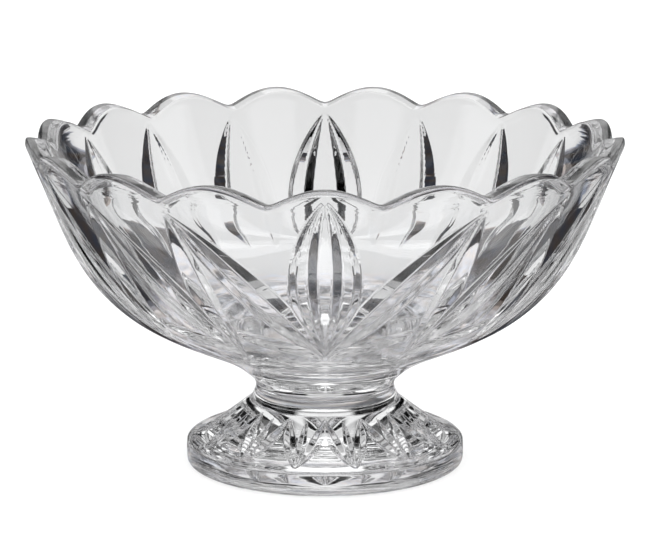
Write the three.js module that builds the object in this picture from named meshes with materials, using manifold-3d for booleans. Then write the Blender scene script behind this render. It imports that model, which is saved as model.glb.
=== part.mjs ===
// Footed cut crystal bowl: a scalloped bowl with mitre-cut leaves, a plain neck
// collar and a domed foot with a zigzag of cut leaves. Millimetres, +Z up,
// origin on the axis at the level of the table, the front scallop towards -Y.
import * as THREE from 'three';
import { mergeVertices } from 'three/addons/utils/BufferGeometryUtils.js';
import Module from 'manifold-3d';

// ---- driving dimensions -------------------------------------------------
const SCALLOPS = 17;            // arched scallops round the rim
const RIM_CREST_Z = 142.5;      // top of a scallop
const RIM_VALLEY_Z = 135.6;     // bottom of the notch between two scallops
const RIM_SLOPE = 0.4;          // outward lean of the wall near the rim
const RIM_INNER_SLOPE = 0.43;   // the same on the inside
const LIP_ROUND = 2.2;          // height of the rounded outer edge of the lip
const LIP_EDGE = 1.1;           // width of that edge
const LIP_FALL = 0.9;           // fall of the lip's top towards the inside
const LIP_INNER_ROUND = 1.6;    // rounding of the inner edge of the lip
const BOWL_COLUMNS = SCALLOPS * 6;
const CUT_STATIONS = 5;         // segments along one mitre cut of the bowl

const JOINT_GAP = 0.3;          // bond line between two ground faces
const NECK_TOP_Z = 37.4;        // ground face under the bowl
const NECK_LOW_Z = 27.2;        // ground face on top of the foot
const PEG_RADIUS = 10.0;        // locating peg under the bowl
const PEG_END_Z = 18.6;         // lower end of the peg, inside the foot

const FOOT_LEAVES = 14;         // lower points of the zigzag on the foot
const FOOT_COLUMNS = FOOT_LEAVES * 4;
const FOOT_STATIONS = 4;        // segments along one mitre cut of the foot
const COLLAR_COLUMNS = 48;
const FOOT_HOLLOW_R = 47.0;     // radius of the shallow hollow under the foot
const FOOT_HOLLOW_Z = 2.4;      // depth of that hollow at the axis

// outer wall of the bowl below the rim [radius, height]; arc length along it
// is counted from the first point
const BOWL_OUTER = [
  [123.0, 131.9], [119.26, 122.78], [115.75, 113.57], [112.07, 104.42], [107.89, 95.49],
  [102.93, 86.98], [97.01, 79.1], [90.12, 72.06], [82.35, 66.0], [73.92, 60.89],
  [65.08, 56.53], [56.06, 52.56], [47.08, 48.5], [38.5, 43.65], [30.9, NECK_TOP_Z],
];
// inside of the bowl from the middle of its floor up to below the lip
const BOWL_INNER = [
  [10.89, 54.51], [21.77, 55.22], [32.58, 56.55], [43.27, 58.66], [53.7, 61.78],
  [63.72, 66.05], [73.1, 71.58], [81.65, 78.32], [89.21, 86.16], [95.72, 94.88],
  [101.24, 104.28], [105.97, 114.09], [110.4, 124.0],
];
const BOWL_FLOOR_Z = 54.3;

// neck collar, outside [radius, height]
const COLLAR_OUTER = [
  [30.8, NECK_TOP_Z - JOINT_GAP], [30.0, 35.4], [29.7, 34.0], [29.9, 32.4],
  [30.5, 30.6], [31.4, 28.8], [32.2, NECK_LOW_Z + JOINT_GAP],
];
// foot, outside [radius, height]
const FOOT_OUTER = [
  [32.4, NECK_LOW_Z], [35.2, 25.0], [40.2, 21.0], [45.4, 17.2], [50.4, 14.2],
  [54.4, 12.2], [57.6, 10.9], [59.1, 9.9], [59.5, 8.6], [59.5, 2.2], [58.8, 0.7], [57.4, 0.0],
];

// sections of the mitre cuts as [offset, depth] from one edge to the other
const OVAL = [[-4.45, 0], [0, 3.0], [4.25, 2.3], [7.15, 0]];
const LEAF = [[-5.8, 0], [-5.0, 1.7], [0, 3.2], [5.4, 0]];
const LONG = [[-9.0, 0], [0, 4.2], [4.4, 2.6], [6.0, 0]];
const LOW = [[-3.2, 0], [0, 2.6], [4.8, 1.7], [7.0, 0]];
const PAIR = [[-5.2, 0], [0, 4.7], [5.4, 2.6], [6.6, 0]];
const SIDE_LEAF = [[-6.4, 0], [0, 3.4], [2.4, 0]];
const BACK_LEAF = [[-2.2, 0], [0, 1.5], [6.6, 0]];
// mitre cuts on the bowl: from [deg, arc] to [deg, arc], sideways swing of the
// middle in degrees, section; every one is mirrored left to right
const BOWL_CUTS = [
  [0, -7, 0, 74, 3.75, OVAL],
  [31.3, 1.5, 22.9, 79.5, 0, LEAF], [31.3, 1.5, 0.5, 78.5, -0.9, LONG],
  [21.0, 59.5, 1.0, 83, -2.8, LOW],
  [52.5, 1.5, 45.6, 79.5, 0, LEAF], [52.5, 1.5, 23.0, 80, -0.9, LONG],
  [43.6, 59.5, 23.6, 83, -2.8, LOW],
  [73.7, 1.5, 69.2, 79.5, 0.6, LEAF], [73.7, 1.5, 50.0, 80, -1.5, LONG],
  [95.29, 1.5, 94.5, 79.5, 2.2, BACK_LEAF], [95.29, 1.5, 82.0, 79.5, -2.4, SIDE_LEAF],
  [116.47, 1.5, 119.4, 79.5, 2.4, BACK_LEAF], [116.47, 1.5, 109.6, 79.5, -2.2, SIDE_LEAF],
  [137.65, 1.5, 142.1, 79.5, 2.6, BACK_LEAF], [137.65, 1.5, 133.2, 79.5, -2.2, SIDE_LEAF],
  [158.82, 1.5, 163.3, 79.5, 2.6, BACK_LEAF], [158.82, 1.5, 154.4, 79.5, -2.2, SIDE_LEAF],
  [180, 1.5, 184.5, 79.5, 3.4, PAIR],
];
// cuts on the foot, as a fan of three on every lower point: from
// [half steps, arc] to [half steps, arc], half width, depth
const FOOT_FAN = [[-1, 1.6, 0, 29.5, 2.6, 1.5], [1, 1.6, 0, 29.5, 2.6, 1.5], [0, 3.5, 0, 29.0, 2.0, 1.2]];

// ---- helpers --------------------------------------------------------------
const wasm = await Module();
wasm.setup();
const RAD = Math.PI / 180;

// solid from a closed geometry, whichever way its triangles were wound
function solid(source) {
  const bare = source.clone();
  bare.deleteAttribute('normal');
  bare.deleteAttribute('uv');
  const g = mergeVertices(bare, 1e-4);
  const pos = g.attributes.position.array;
  const idx = [];
  for (let i = 0; i < g.index.count; i += 3) {
    const [a, b, c] = [g.index.getX(i), g.index.getX(i + 1), g.index.getX(i + 2)];
    if (a !== b && b !== c && c !== a) idx.push(a, b, c);
  }
  let vol = 0;
  const [p, q, r] = [new THREE.Vector3(), new THREE.Vector3(), new THREE.Vector3()];
  for (let i = 0; i < idx.length; i += 3) {
    p.fromArray(pos, idx[i] * 3);
    q.fromArray(pos, idx[i + 1] * 3);
    r.fromArray(pos, idx[i + 2] * 3);
    vol += p.dot(q.cross(r));
  }
  if (vol < 0) for (let i = 0; i < idx.length; i += 3) [idx[i + 1], idx[i + 2]] = [idx[i + 2], idx[i + 1]];
  return new wasm.Manifold(new wasm.Mesh({
    numProp: 3, vertProperties: new Float32Array(pos), triVerts: new Uint32Array(idx),
  }));
}

// body turned round the axis; a row is [radius, z] or a function of the angle
function turned(rows, columns) {
  const at = (row, a) => (Array.isArray(row) ? row : row(a));
  const profile = rows.map((row) => new THREE.Vector2(...at(row, 0)));
  const g = new THREE.LatheGeometry(profile, columns);
  g.rotateX(Math.PI / 2);
  for (let i = 0; i <= columns; i++) {
    const a = ((i % columns) / columns) * 2 * Math.PI;
    rows.forEach((row, j) => {
      const [r, z] = at(row, a);
      g.attributes.position.setXYZ(i * rows.length + j, r * Math.sin(a), -r * Math.cos(a), z);
    });
  }
  return solid(g);
}

function geometryOf(man) {
  const mesh = man.getMesh();
  const g = new THREE.BufferGeometry();
  const pos = new Float32Array(mesh.numVert * 3);
  for (let i = 0; i < mesh.numVert; i++) {
    for (let k = 0; k < 3; k++) pos[i * 3 + k] = mesh.vertProperties[i * mesh.numProp + k];
  }
  g.setAttribute('position', new THREE.BufferAttribute(pos, 3));
  g.setIndex(new THREE.BufferAttribute(new Uint32Array(mesh.triVerts), 1));
  const merged = mergeVertices(g, 1e-4);
  merged.computeVertexNormals();
  return merged;
}

// point and outward normal of a profile at an arc length
function along(profile, s) {
  let left = s;
  for (let i = 0; i + 1 < profile.length; i++) {
    const [r0, z0] = profile[i];
    const [r1, z1] = profile[i + 1];
    const len = Math.hypot(r1 - r0, z1 - z0);
    if (left <= len || i + 2 === profile.length) {
      const t = left / len;
      return { r: r0 + (r1 - r0) * t, z: z0 + (z1 - z0) * t, nr: -(z1 - z0) / len, nz: (r1 - r0) / len };
    }
    left -= len;
  }
  return null;
}

// one mitre cut: a spindle that follows the profile, its section grown from the
// tips to the middle and carried on a little above the surface
function mitre(profile, [t0, s0, t1, s1, swing, section], stations) {
  const angle = (u) => (t0 + (t1 - t0) * u + 4 * swing * u * (1 - u)) * RAD;
  const pt = (u, h) => {
    const a = angle(u);
    const f = along(profile, s0 + (s1 - s0) * u);
    return new THREE.Vector3(
      (f.r + f.nr * h) * Math.sin(a), -(f.r + f.nr * h) * Math.cos(a), f.z + f.nz * h,
    );
  };
  const lift = 1.4;
  const n = section.length;
  const beyond = ([o, d], [o1, d1]) => o + ((o - o1) / (d1 - d)) * lift;   // edge carried on above the surface
  const extra = [
    beyond(section[0], section[1]) - section[0][0],
    beyond(section[n - 1], section[n - 2]) - section[n - 1][0],
  ];
  const g = new THREE.SphereGeometry(1, n, stations);   // two tips, one edge for every point of the section
  for (let i = 0; i <= stations; i++) {
    const u = i / stations;
    const lens = 4 * u * (1 - u);
    let loop = section.map(() => pt(u, 0.25));
    if (i > 0 && i < stations) {
      const dir = pt(u + 0.02, 0).sub(pt(u - 0.02, 0)).normalize();
      const out = pt(u, 1).sub(pt(u, 0)).normalize();
      const side = new THREE.Vector3().crossVectors(dir, out).normalize();
      if (side.x * Math.cos(angle(u)) + side.y * Math.sin(angle(u)) < 0) side.negate();
      loop = section.map(([o, d], k) => {
        if (k === 0) return pt(u, lift).addScaledVector(side, o * lens + extra[0]);
        if (k === n - 1) return pt(u, lift).addScaledVector(side, o * lens + extra[1]);
        return pt(u, -d * lens).addScaledVector(side, o * lens);
      });
    }
    for (let k = 0; k <= n; k++) {
      const v = loop[k % n];
      g.attributes.position.setXYZ(i * (n + 1) + k, v.x, v.y, v.z);
    }
  }
  return solid(g);
}
const flipped = (section) => section.map(([o, d]) => [-o, d]).reverse();

// ---- bowl -------------------------------------------------------------------
function rimZ(a) {
  const u = Math.cos((SCALLOPS / 2) * a);
  const e = 0.14;
  const f = (Math.sqrt(u * u + e * e) - e) / (Math.sqrt(1 + e * e) - e);
  return RIM_VALLEY_Z + (RIM_CREST_Z - RIM_VALLEY_Z) * f;
}
const outerTop = (z) => BOWL_OUTER[0][0] + RIM_SLOPE * (z - BOWL_OUTER[0][1]);
const innerTop = (z) => {
  const [r, z0] = BOWL_INNER[BOWL_INNER.length - 1];
  return r + RIM_INNER_SLOPE * (z - z0);
};
const lipInner = (across, up) => (a) => {
  const z = rimZ(a) - LIP_FALL - LIP_INNER_ROUND;
  return [innerTop(z) + across * LIP_INNER_ROUND, z + up * LIP_INNER_ROUND];
};
const lipOuter = (across, down) => (a) => {
  const z = rimZ(a);
  return [outerTop(z - LIP_ROUND) - across * LIP_EDGE, z - down * LIP_ROUND];
};
const bowlRows = [
  [0, BOWL_FLOOR_Z],
  ...BOWL_INNER,
  lipInner(0, 0), lipInner(0.3, 0.7), lipInner(1, 1), lipOuter(1, 0), lipOuter(0.3, 0.3), lipOuter(0, 1),
  ...BOWL_OUTER,
  [PEG_RADIUS, NECK_TOP_Z],
  [PEG_RADIUS, PEG_END_Z + 0.8],
  [PEG_RADIUS - 0.8, PEG_END_Z],
  [0, PEG_END_Z],
];
let bowl = turned(bowlRows, BOWL_COLUMNS);
const bowlTools = [];
for (const cut of BOWL_CUTS) {
  bowlTools.push(mitre(BOWL_OUTER, cut, CUT_STATIONS));
  bowlTools.push(mitre(BOWL_OUTER, [-cut[0], cut[1], -cut[2], cut[3], -cut[4], flipped(cut[5])], CUT_STATIONS));
}
for (const tool of bowlTools) bowl = bowl.subtract(tool);

// ---- neck collar ------------------------------------------------------------
const bore = PEG_RADIUS + JOINT_GAP;
const collarRows = [
  [bore, COLLAR_OUTER[0][1]], ...COLLAR_OUTER,
  [bore, COLLAR_OUTER[COLLAR_OUTER.length - 1][1]], [bore, COLLAR_OUTER[0][1]],
];
const collar = turned(collarRows, COLLAR_COLUMNS);

// ---- foot -------------------------------------------------------------------
const footRows = [
  [0, PEG_END_Z - JOINT_GAP],
  [bore, PEG_END_Z - JOINT_GAP],
  [bore, NECK_LOW_Z],
  ...FOOT_OUTER,
  [FOOT_HOLLOW_R, 0],
  [FOOT_HOLLOW_R - 1.6, 0.7],
  [24, FOOT_HOLLOW_Z - 0.4],
  [0, FOOT_HOLLOW_Z],
];
let foot = turned(footRows, FOOT_COLUMNS);
const footStep = 180 / FOOT_LEAVES;
for (let k = 0; k < FOOT_LEAVES; k++) {
  const mid = (2 * k + 1) * footStep;
  for (const [h0, s0, h1, s1, half, depth] of FOOT_FAN) {
    const vee = [[-half, 0], [0, depth], [half, 0]];
    foot = foot.subtract(mitre(FOOT_OUTER, [mid + h0 * footStep, s0, mid + h1 * footStep, s1, 0, vee], FOOT_STATIONS));
  }
}

// ---- assembly -----------------------------------------------------------------
function part(name, man, colour) {
  const mesh = new THREE.Mesh(
    geometryOf(man),
    new THREE.MeshStandardMaterial({ color: colour, roughness: 0.04, metalness: 0 }),
  );
  mesh.name = name;
  return mesh;
}
const group = new THREE.Group();
group.name = 'footed_cut_crystal_bowl';
group.add(part('bowl', bowl, 0xeef1f3), part('neck_collar', collar, 0xe9edf0), part('foot', foot, 0xeef1f3));
export default group;
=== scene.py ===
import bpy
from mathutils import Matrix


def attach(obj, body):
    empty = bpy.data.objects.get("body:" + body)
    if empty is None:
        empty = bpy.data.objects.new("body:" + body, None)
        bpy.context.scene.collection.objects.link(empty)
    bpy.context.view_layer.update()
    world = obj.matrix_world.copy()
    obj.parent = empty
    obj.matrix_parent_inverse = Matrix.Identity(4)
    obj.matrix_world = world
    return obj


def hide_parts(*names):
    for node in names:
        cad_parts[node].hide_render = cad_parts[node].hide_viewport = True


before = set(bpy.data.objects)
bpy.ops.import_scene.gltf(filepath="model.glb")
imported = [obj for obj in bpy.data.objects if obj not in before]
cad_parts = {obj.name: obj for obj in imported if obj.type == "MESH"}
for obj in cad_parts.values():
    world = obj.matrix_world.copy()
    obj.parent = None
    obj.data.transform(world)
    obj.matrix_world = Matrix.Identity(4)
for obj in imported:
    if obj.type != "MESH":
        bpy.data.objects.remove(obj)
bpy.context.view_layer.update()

import math

import bpy
import numpy as np

# ---- dimensions of the bowl, millimetres -------------------------------------
MM = 0.001
SCALLOPS = 17
RIM_CREST_Z, RIM_VALLEY_Z = 142.5, 135.6
RIM_SLOPE, RIM_INNER_SLOPE = 0.4, 0.43
LIP_ROUND, LIP_EDGE = 2.2, 1.1
LIP_FALL, LIP_INNER_ROUND = 0.9, 1.6
NECK_TOP_Z, NECK_LOW_Z = 37.4, 27.2
FOOT_LEAVES = 14

BOWL_COLUMNS = SCALLOPS * 64
FOOT_COLUMNS = FOOT_LEAVES * 60
COLLAR_COLUMNS = 336

BOWL_OUTER = [
    [123.0, 131.9], [119.26, 122.78], [115.75, 113.57], [112.07, 104.42], [107.89, 95.49],
    [102.93, 86.98], [97.01, 79.1], [90.12, 72.06], [82.35, 66.0], [73.92, 60.89],
    [65.08, 56.53], [56.06, 52.56], [47.08, 48.5], [38.5, 43.65], [30.9, NECK_TOP_Z],
]
BOWL_INNER = [
    [0.0, 54.3], [10.89, 54.51], [21.77, 55.22], [32.58, 56.55], [43.27, 58.66], [53.7, 61.78],
    [63.72, 66.05], [73.1, 71.58], [81.65, 78.32], [89.21, 86.16], [95.72, 94.88],
    [101.24, 104.28], [105.97, 114.09], [110.4, 124.0],
]
COLLAR_OUTER = [
    [30.9, NECK_TOP_Z], [30.0, 35.4], [29.7, 34.0], [29.9, 32.4],
    [30.5, 30.6], [31.4, 28.8], [32.4, NECK_LOW_Z],
]
FOOT_OUTER = [
    [32.4, NECK_LOW_Z], [35.2, 25.0], [40.2, 21.0], [45.4, 17.2], [50.4, 14.2],
    [54.4, 12.2], [57.6, 10.9], [59.1, 9.9], [59.5, 8.6], [59.5, 2.2], [58.8, 0.7], [57.4, 0.0],
]

# sections of the mitre cuts as [offset, depth] from one edge to the other: a
# steep facet on one side of the deepest line and a shallow one on the other
OVAL_SECTION = [[-4.45, 0], [0, 3.0], [4.25, 2.3], [7.15, 0]]
LEAF_SECTION = [[-5.8, 0], [-5.0, 1.7], [0, 3.2], [5.4, 0]]
LONG_SECTION = [[-9.0, 0], [0, 4.2], [4.4, 2.6], [6.0, 0]]
LOW_SECTION = [[-3.2, 0], [0, 2.6], [4.8, 1.7], [7.0, 0]]
PAIR_SECTION = [[-5.2, 0], [0, 4.7], [5.4, 2.6], [6.6, 0]]
SIDE_LEAF = [[-6.4, 0], [0, 3.4], [2.4, 0]]
BACK_LEAF = [[-2.2, 0], [0, 1.5], [6.6, 0]]
# cuts on the bowl: [deg, arc] to [deg, arc], swing of the middle in degrees,
# section; every one is mirrored left to right
BOWL_CUTS = [
    [0, -7, 0, 74, 3.75, OVAL_SECTION],
    [31.3, 1.5, 22.9, 79.5, 0.0, LEAF_SECTION], [31.3, 1.5, 0.5, 78.5, -0.9, LONG_SECTION],
    [21.0, 59.5, 1.0, 83, -2.8, LOW_SECTION],
    [52.5, 1.5, 45.6, 79.5, 0.0, LEAF_SECTION], [52.5, 1.5, 23.0, 80, -0.9, LONG_SECTION],
    [43.6, 59.5, 23.6, 83, -2.8, LOW_SECTION],
    [73.7, 1.5, 69.2, 79.5, 0.6, LEAF_SECTION], [73.7, 1.5, 50.0, 80, -1.5, LONG_SECTION],
    [95.29, 1.5, 94.5, 79.5, 2.2, BACK_LEAF], [95.29, 1.5, 82.0, 79.5, -2.4, SIDE_LEAF],
    [116.47, 1.5, 119.4, 79.5, 2.4, BACK_LEAF], [116.47, 1.5, 109.6, 79.5, -2.2, SIDE_LEAF],
    [137.65, 1.5, 142.1, 79.5, 2.6, BACK_LEAF], [137.65, 1.5, 133.2, 79.5, -2.2, SIDE_LEAF],
    [158.82, 1.5, 163.3, 79.5, 2.6, BACK_LEAF], [158.82, 1.5, 154.4, 79.5, -2.2, SIDE_LEAF],
    [180, 1.5, 184.5, 79.5, 3.4, PAIR_SECTION],
]
# cuts on the foot, a fan of three on every lower point: [half steps, arc] to
# [half steps, arc], half width, depth
FOOT_FAN = [[-1, 1.6, 0, 29.5, 2.6, 1.5], [1, 1.6, 0, 29.5, 2.6, 1.5], [0, 3.5, 0, 29.0, 2.0, 1.2]]


# ---- shapes -------------------------------------------------------------------
def curve_through(points, n=14):
    """A smooth curve through [radius, z] points."""
    p = np.array(points, float)
    q = np.vstack([2 * p[0] - p[1], p, 2 * p[-1] - p[-2]])
    out = []
    for i in range(1, len(q) - 2):
        a, b, c, d = q[i - 1], q[i], q[i + 1], q[i + 2]
        for k in range(n):
            u = k / n
            out.append(0.5 * (2 * b + (c - a) * u + (2 * a - 5 * b + 4 * c - d) * u * u + (3 * b - a - 3 * c + d) * u ** 3))
    out.append(p[-1])
    return np.array(out)


def arc_of(curve):
    return np.r_[0, np.cumsum(np.hypot(*np.diff(curve, axis=0).T))]


def cut_depth(cuts, theta, s, radius):
    """Depth of the mitre cuts on a grid of arc lengths (rows) and angles (columns)."""
    depth = np.zeros_like(s)
    for t0, s0, t1, s1, swing, section in cuts:
        u = np.clip((s - s0) / (s1 - s0), 0, 1)
        centre = np.radians(t0 + (t1 - t0) * u + 4 * swing * u * (1 - u))
        turn = np.radians((t1 - t0) + 4 * swing * (1 - 2 * u)) / (s1 - s0) * radius
        off = (theta[None, :] - centre + math.pi) % (2 * math.pi) - math.pi
        off = off * radius / np.sqrt(1 + turn ** 2)
        lens = 4 * u * (1 - u)
        offsets, depths = zip(*section)
        cut = lens * np.interp(off / (lens + 1e-6), offsets, depths)
        depth = np.maximum(depth, cut)
    return depth


def rim_height(theta):
    u = np.cos(SCALLOPS / 2 * theta)
    e = 0.14
    f = (np.sqrt(u * u + e * e) - e) / (math.sqrt(1 + e * e) - e)
    return RIM_VALLEY_Z + (RIM_CREST_Z - RIM_VALLEY_Z) * f


def ring(radius, z, theta):
    radius, z = np.broadcast_to(radius, theta.shape), np.broadcast_to(z, theta.shape)
    return np.stack([radius * np.sin(theta), -radius * np.cos(theta), z], -1)


def ring_solid(name, rows, joint_rows=(), shade_line_rows=()):
    """A closed mesh from rings between two points on the axis. joint_rows are the bands that touch the next piece;
    the third list holds the rim bands that take the painted shade line."""
    first, rings, last = rows[0], rows[1:-1], rows[-1]
    n = len(rings[0])
    verts = np.concatenate([[first], *rings, [last]]) * MM
    j = np.arange(n)
    k = (j + 1) % n
    faces, band = [], []
    faces.append(np.stack([np.zeros(n, int), 1 + j, 1 + k, np.full(n, -1)], -1))
    band.append(np.full(n, 0))
    for i in range(len(rings) - 1):
        a, b = 1 + i * n, 1 + (i + 1) * n
        faces.append(np.stack([a + j, b + j, b + k, a + k], -1))
        band.append(np.full(n, i + 1))
    a = 1 + (len(rings) - 1) * n
    faces.append(np.stack([a + j, np.full(n, len(verts) - 1), a + k, np.full(n, -1)], -1))
    band.append(np.full(n, len(rings)))
    faces, band = np.concatenate(faces), np.concatenate(band)
    count = np.where(faces[:, 3] < 0, 3, 4)
    loops = faces.ravel()[faces.ravel() >= 0]
    starts = np.r_[0, np.cumsum(count)[:-1]]
    mesh = bpy.data.meshes.new(name)
    mesh.vertices.add(len(verts))
    mesh.vertices.foreach_set("co", verts.ravel().astype(np.float32))
    mesh.loops.add(len(loops))
    mesh.loops.foreach_set("vertex_index", loops.astype(np.int32))
    mesh.polygons.add(len(faces))
    mesh.polygons.foreach_set("loop_start", starts.astype(np.int32))
    mesh.update(calc_edges=True)
    mesh.polygons.foreach_set("use_smooth", np.ones(len(faces), bool))
    # slot 1 on the joint bands, slot 2, the painted shade line, on the listed rim bands
    mesh.polygons.foreach_set("material_index", (np.isin(band, joint_rows) + 2 * np.isin(band, shade_line_rows)).astype(np.int32))
    mesh.update()
    mesh.validate()
    obj = bpy.data.objects.new(name, mesh)
    bpy.context.scene.collection.objects.link(obj)
    return obj


def crystal_bowl():
    theta = np.arange(BOWL_COLUMNS) * 2 * math.pi / BOWL_COLUMNS
    top = rim_height(theta)
    outer, inner = curve_through(BOWL_OUTER), curve_through(BOWL_INNER, 6)
    so = arc_of(outer)

    def r_out(z):
        return BOWL_OUTER[0][0] + RIM_SLOPE * (z - BOWL_OUTER[0][1])

    def r_in(z):
        return BOWL_INNER[-1][0] + RIM_INNER_SLOPE * (z - BOWL_INNER[-1][1])

    rows = [np.array([0, 0, BOWL_INNER[0][1]])]
    for r, z in inner[1:]:
        rows.append(ring(r, z, theta))
    low = top - LIP_FALL - LIP_INNER_ROUND
    for u in np.linspace(0, 1, 8)[1:]:
        z = BOWL_INNER[-1][1] + (low - BOWL_INNER[-1][1]) * u
        rows.append(ring(r_in(z), z, theta))
    base = top - LIP_ROUND
    left, right = r_in(low), r_out(base)
    for a in np.linspace(0, math.pi / 2, 7)[1:]:
        rows.append(ring(left + LIP_INNER_ROUND * (1 - math.cos(a)), low + LIP_INNER_ROUND * math.sin(a), theta))
    flat = right - LIP_EDGE - left - LIP_INNER_ROUND
    for u in np.linspace(0, 1, 7)[1:]:
        rows.append(ring(left + LIP_INNER_ROUND + flat * u, top - LIP_FALL * (1 - u) ** 1.6, theta))
    edge = len(rows)
    for a in np.linspace(0, math.pi / 2, 12)[1:-1]:
        rows.append(ring(right - LIP_EDGE * (1 - math.sin(a) ** 0.9), base + LIP_ROUND * math.cos(a) ** 0.9, theta))
    # outside of the wall: radius, height and arc length of every grid point
    start = BOWL_OUTER[0][1] - 1.4
    lean = math.hypot(1, RIM_SLOPE)
    upper = np.array([base + (start - base) * u for u in np.linspace(0, 1, 26)[:-1]])
    s = np.r_[np.arange(np.interp(-start, -outer[:, 1], so), 92, 0.44), np.linspace(92.3, so[-1], 34)]
    r, z = np.interp(s, so, outer[:, 0]), np.interp(s, so, outer[:, 1])
    tr, tz = np.gradient(r), np.gradient(z)
    length = np.hypot(tr, tz)
    wide = np.ones((1, BOWL_COLUMNS))
    above = np.maximum(upper - BOWL_OUTER[0][1], 0)
    below = np.minimum(upper, BOWL_OUTER[0][1])
    grid_r = np.vstack([np.interp(-below, -outer[:, 1], outer[:, 0]) + RIM_SLOPE * above, r[:, None] * wide])
    grid_z = np.vstack([upper, z[:, None] * wide])
    grid_s = np.vstack([np.interp(-below, -outer[:, 1], so) - lean * above, s[:, None] * wide])
    nr = np.vstack([np.full_like(upper, 1 / lean), (-tz / length)[:, None] * wide])
    nz = np.vstack([np.full_like(upper, -RIM_SLOPE / lean), (tr / length)[:, None] * wide])
    mirrored = [[-t0, s0, -t1, s1, -w, [[-o, d] for o, d in reversed(c)]] for t0, s0, t1, s1, w, c in BOWL_CUTS]
    depth = cut_depth(BOWL_CUTS + mirrored, theta, grid_s, grid_r)
    for i in range(len(grid_s)):
        rows.append(ring(grid_r[i] - depth[i] * nr[i], grid_z[i] - depth[i] * nz[i], theta))
    wall = len(rows) - 1
    for q in (0.66, 0.33):
        rows.append(ring(BOWL_OUTER[-1][0] * q, NECK_TOP_Z, theta))
    rows.append(np.array([0, 0, NECK_TOP_Z]))
    # the rows round the lip's outer edge take the painted shade line
    return ring_solid("crystal_bowl", rows, range(wall, len(rows)), range(edge - 4, edge + 3))


def crystal_collar():
    theta = np.arange(COLLAR_COLUMNS) * 2 * math.pi / COLLAR_COLUMNS
    outer = curve_through(COLLAR_OUTER, 8)
    rows = [np.array([0, 0, NECK_TOP_Z])]
    rows += [ring(COLLAR_OUTER[0][0] * q, NECK_TOP_Z, theta) for q in (0.33, 0.66)]
    upper = len(rows)
    rows += [ring(r, z, theta) for r, z in outer]
    wall = len(rows) - 1
    rows += [ring(COLLAR_OUTER[-1][0] * q, NECK_LOW_Z, theta) for q in (0.66, 0.33)]
    rows.append(np.array([0, 0, NECK_LOW_Z]))
    return ring_solid("crystal_neck_collar", rows, [*range(upper), *range(wall, len(rows))])


def crystal_foot():
    theta = np.arange(FOOT_COLUMNS) * 2 * math.pi / FOOT_COLUMNS
    outer = curve_through(FOOT_OUTER)
    so = arc_of(outer)
    rows = [np.array([0, 0, NECK_LOW_Z])]
    rows += [ring(FOOT_OUTER[0][0] * q, NECK_LOW_Z, theta) for q in (0.33, 0.66)]
    upper = len(rows)
    s = np.r_[np.arange(0, 34, 0.38), np.linspace(34.2, so[-1], 34)]
    r, z = np.interp(s, so, outer[:, 0]), np.interp(s, so, outer[:, 1])
    step = 180 / FOOT_LEAVES
    cuts = []
    for k in range(FOOT_LEAVES):
        m = (2 * k + 1) * step
        cuts += [
            [m + h0 * step, s0, m + h1 * step, s1, 0, [[-half, 0], [0, deep], [half, 0]]]
            for h0, s0, h1, s1, half, deep in FOOT_FAN
        ]
    wide = np.ones((1, FOOT_COLUMNS))
    depth = cut_depth(cuts, theta, s[:, None] * wide, r[:, None] * wide)
    tr, tz = np.gradient(r), np.gradient(z)
    length = np.hypot(tr, tz)
    nr, nz = -tz / length, tr / length
    rows += [ring(r[i] - depth[i] * nr[i], z[i] - depth[i] * nz[i], theta) for i in range(len(s))]
    for q, h in ((52.0, 0.0), (47.6, 0.0), (46.8, 0.25), (45.4, 0.8), (38.0, 1.4), (28.0, 1.9), (16.0, 2.25), (7.0, 2.38)):
        rows.append(ring(q, h, theta))
    rows.append(np.array([0, 0, 2.4]))
    return ring_solid("crystal_foot", rows, range(upper))


# ---- materials ------------------------------------------------------------------
def noise_of(nt, scale, detail, low, high, spread=0.2, swirl=0.0):
    """Object-space noise between two values; a small spread makes it change sharply."""
    where = nt.nodes.new("ShaderNodeTexCoord")
    noise = nt.nodes.new("ShaderNodeTexNoise")
    noise.inputs["Scale"].default_value = scale
    noise.inputs["Detail"].default_value = detail
    noise.inputs["Distortion"].default_value = swirl
    span = nt.nodes.new("ShaderNodeMapRange")
    span.inputs["From Min"].default_value, span.inputs["From Max"].default_value = 0.5 - spread, 0.5 + spread
    span.inputs["To Min"].default_value, span.inputs["To Max"].default_value = low, high
    nt.links.new(where.outputs["Object"], noise.inputs["Vector"])
    nt.links.new(noise.outputs["Fac"], span.inputs["Value"])
    return span.outputs["Result"]


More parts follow.
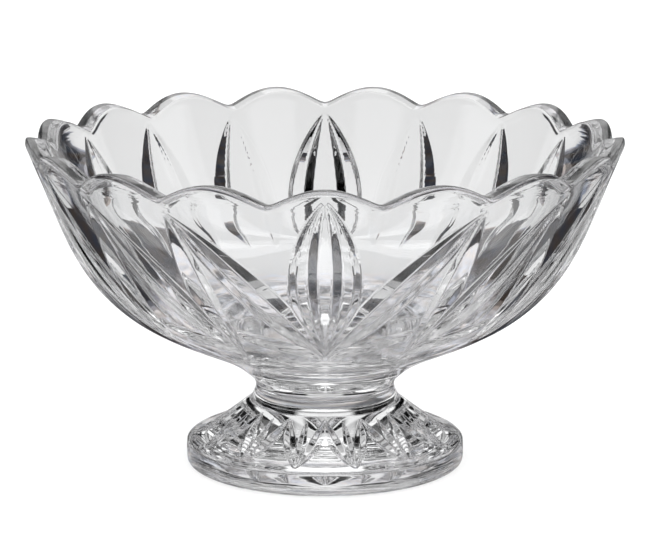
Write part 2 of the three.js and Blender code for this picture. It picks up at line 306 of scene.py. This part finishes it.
def crystal(name, waviness):
    """Clear polished lead crystal, with a little waviness and polishing haze."""
    m = bpy.data.materials.new(name)
    m.use_nodes = True
    nt = m.node_tree
    p = nt.nodes["Principled BSDF"]
    p.inputs["Transmission Weight"].default_value = 1.0
    p.inputs["IOR"].default_value = 1.545
    tint = nt.nodes.new("ShaderNodeMix")
    tint.data_type = "RGBA"
    tint.inputs["A"].default_value = (0.985, 0.988, 0.991, 1)
    tint.inputs["B"].default_value = (0.972, 0.976, 0.980, 1)
    nt.links.new(noise_of(nt, 16, 2, 0, 1), tint.inputs["Factor"])
    nt.links.new(tint.outputs["Result"], p.inputs["Base Color"])
    nt.links.new(noise_of(nt, 60, 3, 0.0, 0.012), p.inputs["Roughness"])
    # long soft waves everywhere, fine streaks round the axis below the cuts and along the rim
    where = nt.nodes.new("ShaderNodeTexCoord")
    split = nt.nodes.new("ShaderNodeSeparateXYZ")
    nt.links.new(where.outputs["Object"], split.inputs[0])
    zones = []
    for low, high in ((0.078, 0.054), (0.130, 0.137)):
        zone = nt.nodes.new("ShaderNodeMapRange")
        zone.interpolation_type = "SMOOTHSTEP"
        zone.inputs["From Min"].default_value, zone.inputs["From Max"].default_value = low, high
        zone.inputs["To Min"].default_value, zone.inputs["To Max"].default_value = 0.0, 1.0
        nt.links.new(split.outputs["Z"], zone.inputs["Value"])
        zones.append(zone)
    near = nt.nodes.new("ShaderNodeMath")
    near.operation = "MAXIMUM"
    nt.links.new(zones[0].outputs["Result"], near.inputs[0])
    nt.links.new(zones[1].outputs["Result"], near.inputs[1])
    stretch = nt.nodes.new("ShaderNodeMapping")
    stretch.inputs["Scale"].default_value = (70, 70, 520)
    streak = nt.nodes.new("ShaderNodeTexNoise")
    streak.inputs["Scale"].default_value = 1.0
    streak.inputs["Detail"].default_value = 2.0
    nt.links.new(where.outputs["Object"], stretch.inputs["Vector"])
    nt.links.new(stretch.outputs["Vector"], streak.inputs["Vector"])
    height = nt.nodes.new("ShaderNodeMath")
    height.operation = "MULTIPLY_ADD"
    nt.links.new(streak.outputs["Fac"], height.inputs[0])
    nt.links.new(near.outputs["Value"], height.inputs[1])
    nt.links.new(noise_of(nt, 42, 1, 0, 0.4), height.inputs[2])
    bump = nt.nodes.new("ShaderNodeBump")
    bump.inputs["Strength"].default_value = waviness
    bump.inputs["Distance"].default_value = 0.0004
    nt.links.new(height.outputs["Value"], bump.inputs["Height"])
    nt.links.new(bump.outputs["Normal"], p.inputs["Normal"])
    return m


def bond():
    """Cured bond of the same index as the glass: the joint faces can't be seen."""
    m = bpy.data.materials.new("clear_bond")
    m.use_nodes = True
    nt = m.node_tree
    nt.nodes.remove(nt.nodes["Principled BSDF"])
    clear = nt.nodes.new("ShaderNodeBsdfTransparent")
    nt.links.new(clear.outputs["BSDF"], nt.nodes["Material Output"].inputs["Surface"])
    return m


def painted_shade_line():
    """A fine line along the rim's outer edge, slightly rough, whose dark grey base colour is painted shade."""
    m = bpy.data.materials.new("painted_shade_line")
    m.use_nodes = True
    nt = m.node_tree
    p = nt.nodes["Principled BSDF"]
    p.inputs["Transmission Weight"].default_value = 1.0
    p.inputs["IOR"].default_value = 1.545
    p.inputs["Roughness"].default_value = 0.12
    shade = nt.nodes.new("ShaderNodeCombineColor")
    # painted shade: dark grey noise as the base colour of the clear edge
    grey = noise_of(nt, 140, 3, 0.02, 0.22)
    for channel in ("Red", "Green", "Blue"):
        nt.links.new(grey, shade.inputs[channel])
    nt.links.new(shade.outputs["Color"], p.inputs["Base Color"])
    return m


# ---- the object -------------------------------------------------------------------
clear_bond = bond()
for make, node, slot, waviness in (
    (crystal_bowl, "bowl", "crystal_bowl", 0.13),
    (crystal_collar, "neck_collar", "crystal_collar", 0.06),
    (crystal_foot, "foot", "crystal_foot", 0.05),
):
    piece = make()
    piece.data.materials.append(crystal(slot, waviness))
    piece.data.materials.append(clear_bond)
    if node == "bowl":
        # the bowl's third material is the painted shade line along the rim
        piece.data.materials.append(painted_shade_line())
    piece.visible_shadow = False    # clear glass lets the light through to the floor
    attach(piece, "root")
    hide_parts(node)

# ---- floor, light and camera --------------------------------------------------------
bpy.ops.mesh.primitive_plane_add(size=14, location=(0, 0, -0.0004))
floor = bpy.context.object
floor.name = "floor"
pale = bpy.data.materials.new("pale_floor")
pale.use_nodes = True
nt = pale.node_tree
p = nt.nodes["Principled BSDF"]
p.inputs["Roughness"].default_value = 0.9
p.inputs["Specular IOR Level"].default_value = 0.0
shade = nt.nodes.new("ShaderNodeCombineColor")
grey = noise_of(nt, 3, 2, 0.93, 0.95)
for channel in ("Red", "Green", "Blue"):
    nt.links.new(grey, shade.inputs[channel])
nt.links.new(shade.outputs["Color"], p.inputs["Base Color"])
floor.data.materials.append(pale)

world = bpy.data.worlds.new("studio")
bpy.context.scene.world = world
world.use_nodes = True
nt = world.node_tree
background = nt.nodes["Background"]
background.inputs["Color"].default_value = (1, 1, 1, 1)
where = nt.nodes.new("ShaderNodeTexCoord")
split = nt.nodes.new("ShaderNodeSeparateXYZ")
nt.links.new(where.outputs["Generated"], split.inputs[0])
front = nt.nodes.new("ShaderNodeMapRange")
front.inputs["From Min"].default_value, front.inputs["From Max"].default_value = -0.9, 0.2
front.inputs["To Min"].default_value, front.inputs["To Max"].default_value = 0.25, 1.0
rise = nt.nodes.new("ShaderNodeMapRange")
rise.inputs["From Min"].default_value, rise.inputs["From Max"].default_value = 0.1, 1.0
rise.inputs["To Min"].default_value, rise.inputs["To Max"].default_value = 0.17, 1.2
turn = nt.nodes.new("ShaderNodeMath")
turn.operation = "ARCTAN2"
count = nt.nodes.new("ShaderNodeMath")
count.operation = "MULTIPLY"
count.inputs[1].default_value = 7.0
wave = nt.nodes.new("ShaderNodeMath")
wave.operation = "COSINE"
strips = nt.nodes.new("ShaderNodeMapRange")
strips.interpolation_type = "SMOOTHSTEP"
strips.inputs["From Min"].default_value, strips.inputs["From Max"].default_value = 0.0, 0.45
strips.inputs["To Min"].default_value, strips.inputs["To Max"].default_value = 0.0, 1.9
nt.links.new(split.outputs["X"], turn.inputs[0])
nt.links.new(split.outputs["Y"], turn.inputs[1])
nt.links.new(turn.outputs["Value"], count.inputs[0])
nt.links.new(count.outputs["Value"], wave.inputs[0])
nt.links.new(wave.outputs["Value"], strips.inputs["Value"])
lit = nt.nodes.new("ShaderNodeMath")
lit.operation = "MULTIPLY"
both = nt.nodes.new("ShaderNodeMath")
both.operation = "MULTIPLY"
nt.links.new(split.outputs["Y"], front.inputs["Value"])
nt.links.new(split.outputs["Z"], rise.inputs["Value"])
nt.links.new(front.outputs["Result"], both.inputs[0])
nt.links.new(rise.outputs["Result"], both.inputs[1])
nt.links.new(both.outputs["Value"], lit.inputs[0])
nt.links.new(strips.outputs["Result"], lit.inputs[1])
nt.links.new(lit.outputs["Value"], background.inputs["Strength"])


def softbox(name, size, place, radiance, glass_sees_it):
    data = bpy.data.lights.new(name, "AREA")
    data.shape = "SQUARE"
    data.size = size
    data.energy = size * size * math.pi * radiance
    light = bpy.data.objects.new(name, data)
    light.location = place
    light.visible_glossy = light.visible_transmission = glass_sees_it
    bpy.context.scene.collection.objects.link(light)


softbox("overhead_fill", 4.4, (0, 0.2, 1.8), 1.35, False)
softbox("front_fill", 2.0, (0, -1.6, 1.6), 0.8, False)

# grey card and dark flags round the bowl, seen only by the glass: painted shade and painted
# reflections, sheets under the floor that the camera, the floor's light and the shadows never meet
def glass_only_painted_sheet(name, corners, height, near_grey, far_grey, painted_glint_tint=0.0, dappled=0.0):
    m = bpy.data.materials.new(name)
    m.use_nodes = True
    nt = m.node_tree
    p = nt.nodes["Principled BSDF"]
    p.inputs["Roughness"].default_value = 1.0
    p.inputs["Specular IOR Level"].default_value = 0.0
    where = nt.nodes.new("ShaderNodeNewGeometry")
    split = nt.nodes.new("ShaderNodeSeparateXYZ")
    # painted shade: the sheet's grey runs from near_grey on the camera side to far_grey behind the bowl
    fade = nt.nodes.new("ShaderNodeMapRange")
    fade.inputs["From Min"].default_value, fade.inputs["From Max"].default_value = -0.15, 0.55
    fade.inputs["To Min"].default_value, fade.inputs["To Max"].default_value = near_grey, far_grey
    # painted glints: blue and orange tints in the sheets stand in for the colour fringes of light in the glass
    tint = nt.nodes.new("ShaderNodeMix")
    tint.data_type, tint.blend_type = "RGBA", "MIX"
    tint.inputs["A"].default_value = [1 - painted_glint_tint * 0.45, 1 - painted_glint_tint * 0.1, 1 + painted_glint_tint * 0.8, 1]
    tint.inputs["B"].default_value = [1 + painted_glint_tint * 0.6, 1 - painted_glint_tint * 0.05, 1 - painted_glint_tint * 0.4, 1]
    nt.links.new(noise_of(nt, 90 if dappled else 22, 2, 0, 1, 0.12), tint.inputs["Factor"])
    colour = nt.nodes.new("ShaderNodeVectorMath")
    colour.operation = "SCALE"
    nt.links.new(where.outputs["Position"], split.inputs[0])
    nt.links.new(split.outputs["Y"], fade.inputs["Value"])
    nt.links.new(tint.outputs["Result"], colour.inputs[0])
    # dapples of light and shade round the foot, as cut glass throws them
    reach = nt.nodes.new("ShaderNodeVectorMath")
    reach.operation = "LENGTH"
    ease = nt.nodes.new("ShaderNodeMapRange")
    ease.interpolation_type = "SMOOTHSTEP"
    ease.inputs["From Min"].default_value, ease.inputs["From Max"].default_value = 0.09, 0.23
    ease.inputs["To Min"].default_value, ease.inputs["To Max"].default_value = dappled, 0.0
    mottle = nt.nodes.new("ShaderNodeMath")
    mottle.operation = "MULTIPLY_ADD"
    mottle.inputs[2].default_value = 1.0
    level = nt.nodes.new("ShaderNodeMath")
    level.operation = "MULTIPLY"
    nt.links.new(where.outputs["Position"], reach.inputs[0])
    nt.links.new(reach.outputs["Value"], ease.inputs["Value"])
    nt.links.new(noise_of(nt, 44, 2, -0.8, 0.2, 0.09, 1.0), mottle.inputs[0])
    nt.links.new(ease.outputs["Result"], mottle.inputs[1])
    nt.links.new(fade.outputs["Result"], level.inputs[0])
    nt.links.new(mottle.outputs["Value"], level.inputs[1])
    nt.links.new(level.outputs["Value"], colour.inputs["Scale"])
    nt.links.new(colour.outputs["Vector"], p.inputs["Base Color"])
    mesh = bpy.data.meshes.new(name)
    mesh.from_pydata([(x, y, height) for x, y in corners], [], [tuple(range(len(corners)))])
    mesh.materials.append(m)
    sheet = bpy.data.objects.new(name, mesh)
    bpy.context.scene.collection.objects.link(sheet)
    sheet.visible_camera = sheet.visible_diffuse = sheet.visible_shadow = False


glass_only_painted_sheet("painted_shade_card", [(-4, -4), (4, -4), (4, 4), (-4, 4)], -0.00034, 0.55, 0.60)
around = [(0.22 * math.cos(k * math.pi / 48), 0.22 * math.sin(k * math.pi / 48)) for k in range(96)]
glass_only_painted_sheet("painted_dapple_card", around, -0.00031, 0.55, 0.60, 0.1, 1.0)
# painted dark flags in three steps of grey, seen only by the glass, darkening its facets
for side, word in ((-1, "left"), (1, "right")):
    for grow, height, grey in ((0.0, -0.00028, 0.30), (0.006, -0.00022, 0.12), (0.014, -0.00016, 0.025)):
        inner = [
            (0.112, -0.05), (0.112, 0.055), (0.066, 0.07), (0.066, 0.13), (0.083, 0.14), (0.092, 0.33 - grow), (0.135, 0.335 - grow),
            (0.145, 0.17 - grow), (0.25, 0.165 - grow), (0.26, 0.44), (0.168, 0.46 + grow), (0.168, 0.585 - grow), (0.228, 0.64),
            (0.23, 0.8), (0.27, 1.2), (0.33, 1.6),
        ]
        outer = [(1.0, 1.6), (0.75, 0.52), (0.45, 0.42), (0.34, 0.16), (0.31, -0.05)]
        glass_only_painted_sheet(f"painted_dark_flag_{word}_{grey}", [(side * (x + grow), y) for x, y in inner] + [(side * x, y) for x, y in outer], height, grey, grey, 0.45 if grey < 0.1 else 0.25)

camera_data = bpy.data.cameras.new("camera")
camera_data.sensor_width = 36
camera_data.lens = 3096.9 / 650 * 36
camera = bpy.data.objects.new("camera", camera_data)
bpy.context.scene.collection.objects.link(camera)
camera.location = (0, -1.2901, 0.371)
camera.rotation_euler = (math.radians(90 - 12.59), 0, 0)
bpy.context.scene.camera = camera
bpy.context.scene.view_settings.view_transform = "Standard"
bpy.context.scene.cycles.max_bounces = 48
bpy.context.scene.cycles.transmission_bounces = 48
bpy.context.scene.cycles.glossy_bounces = 48
bpy.context.scene.cycles.transparent_max_bounces = 24
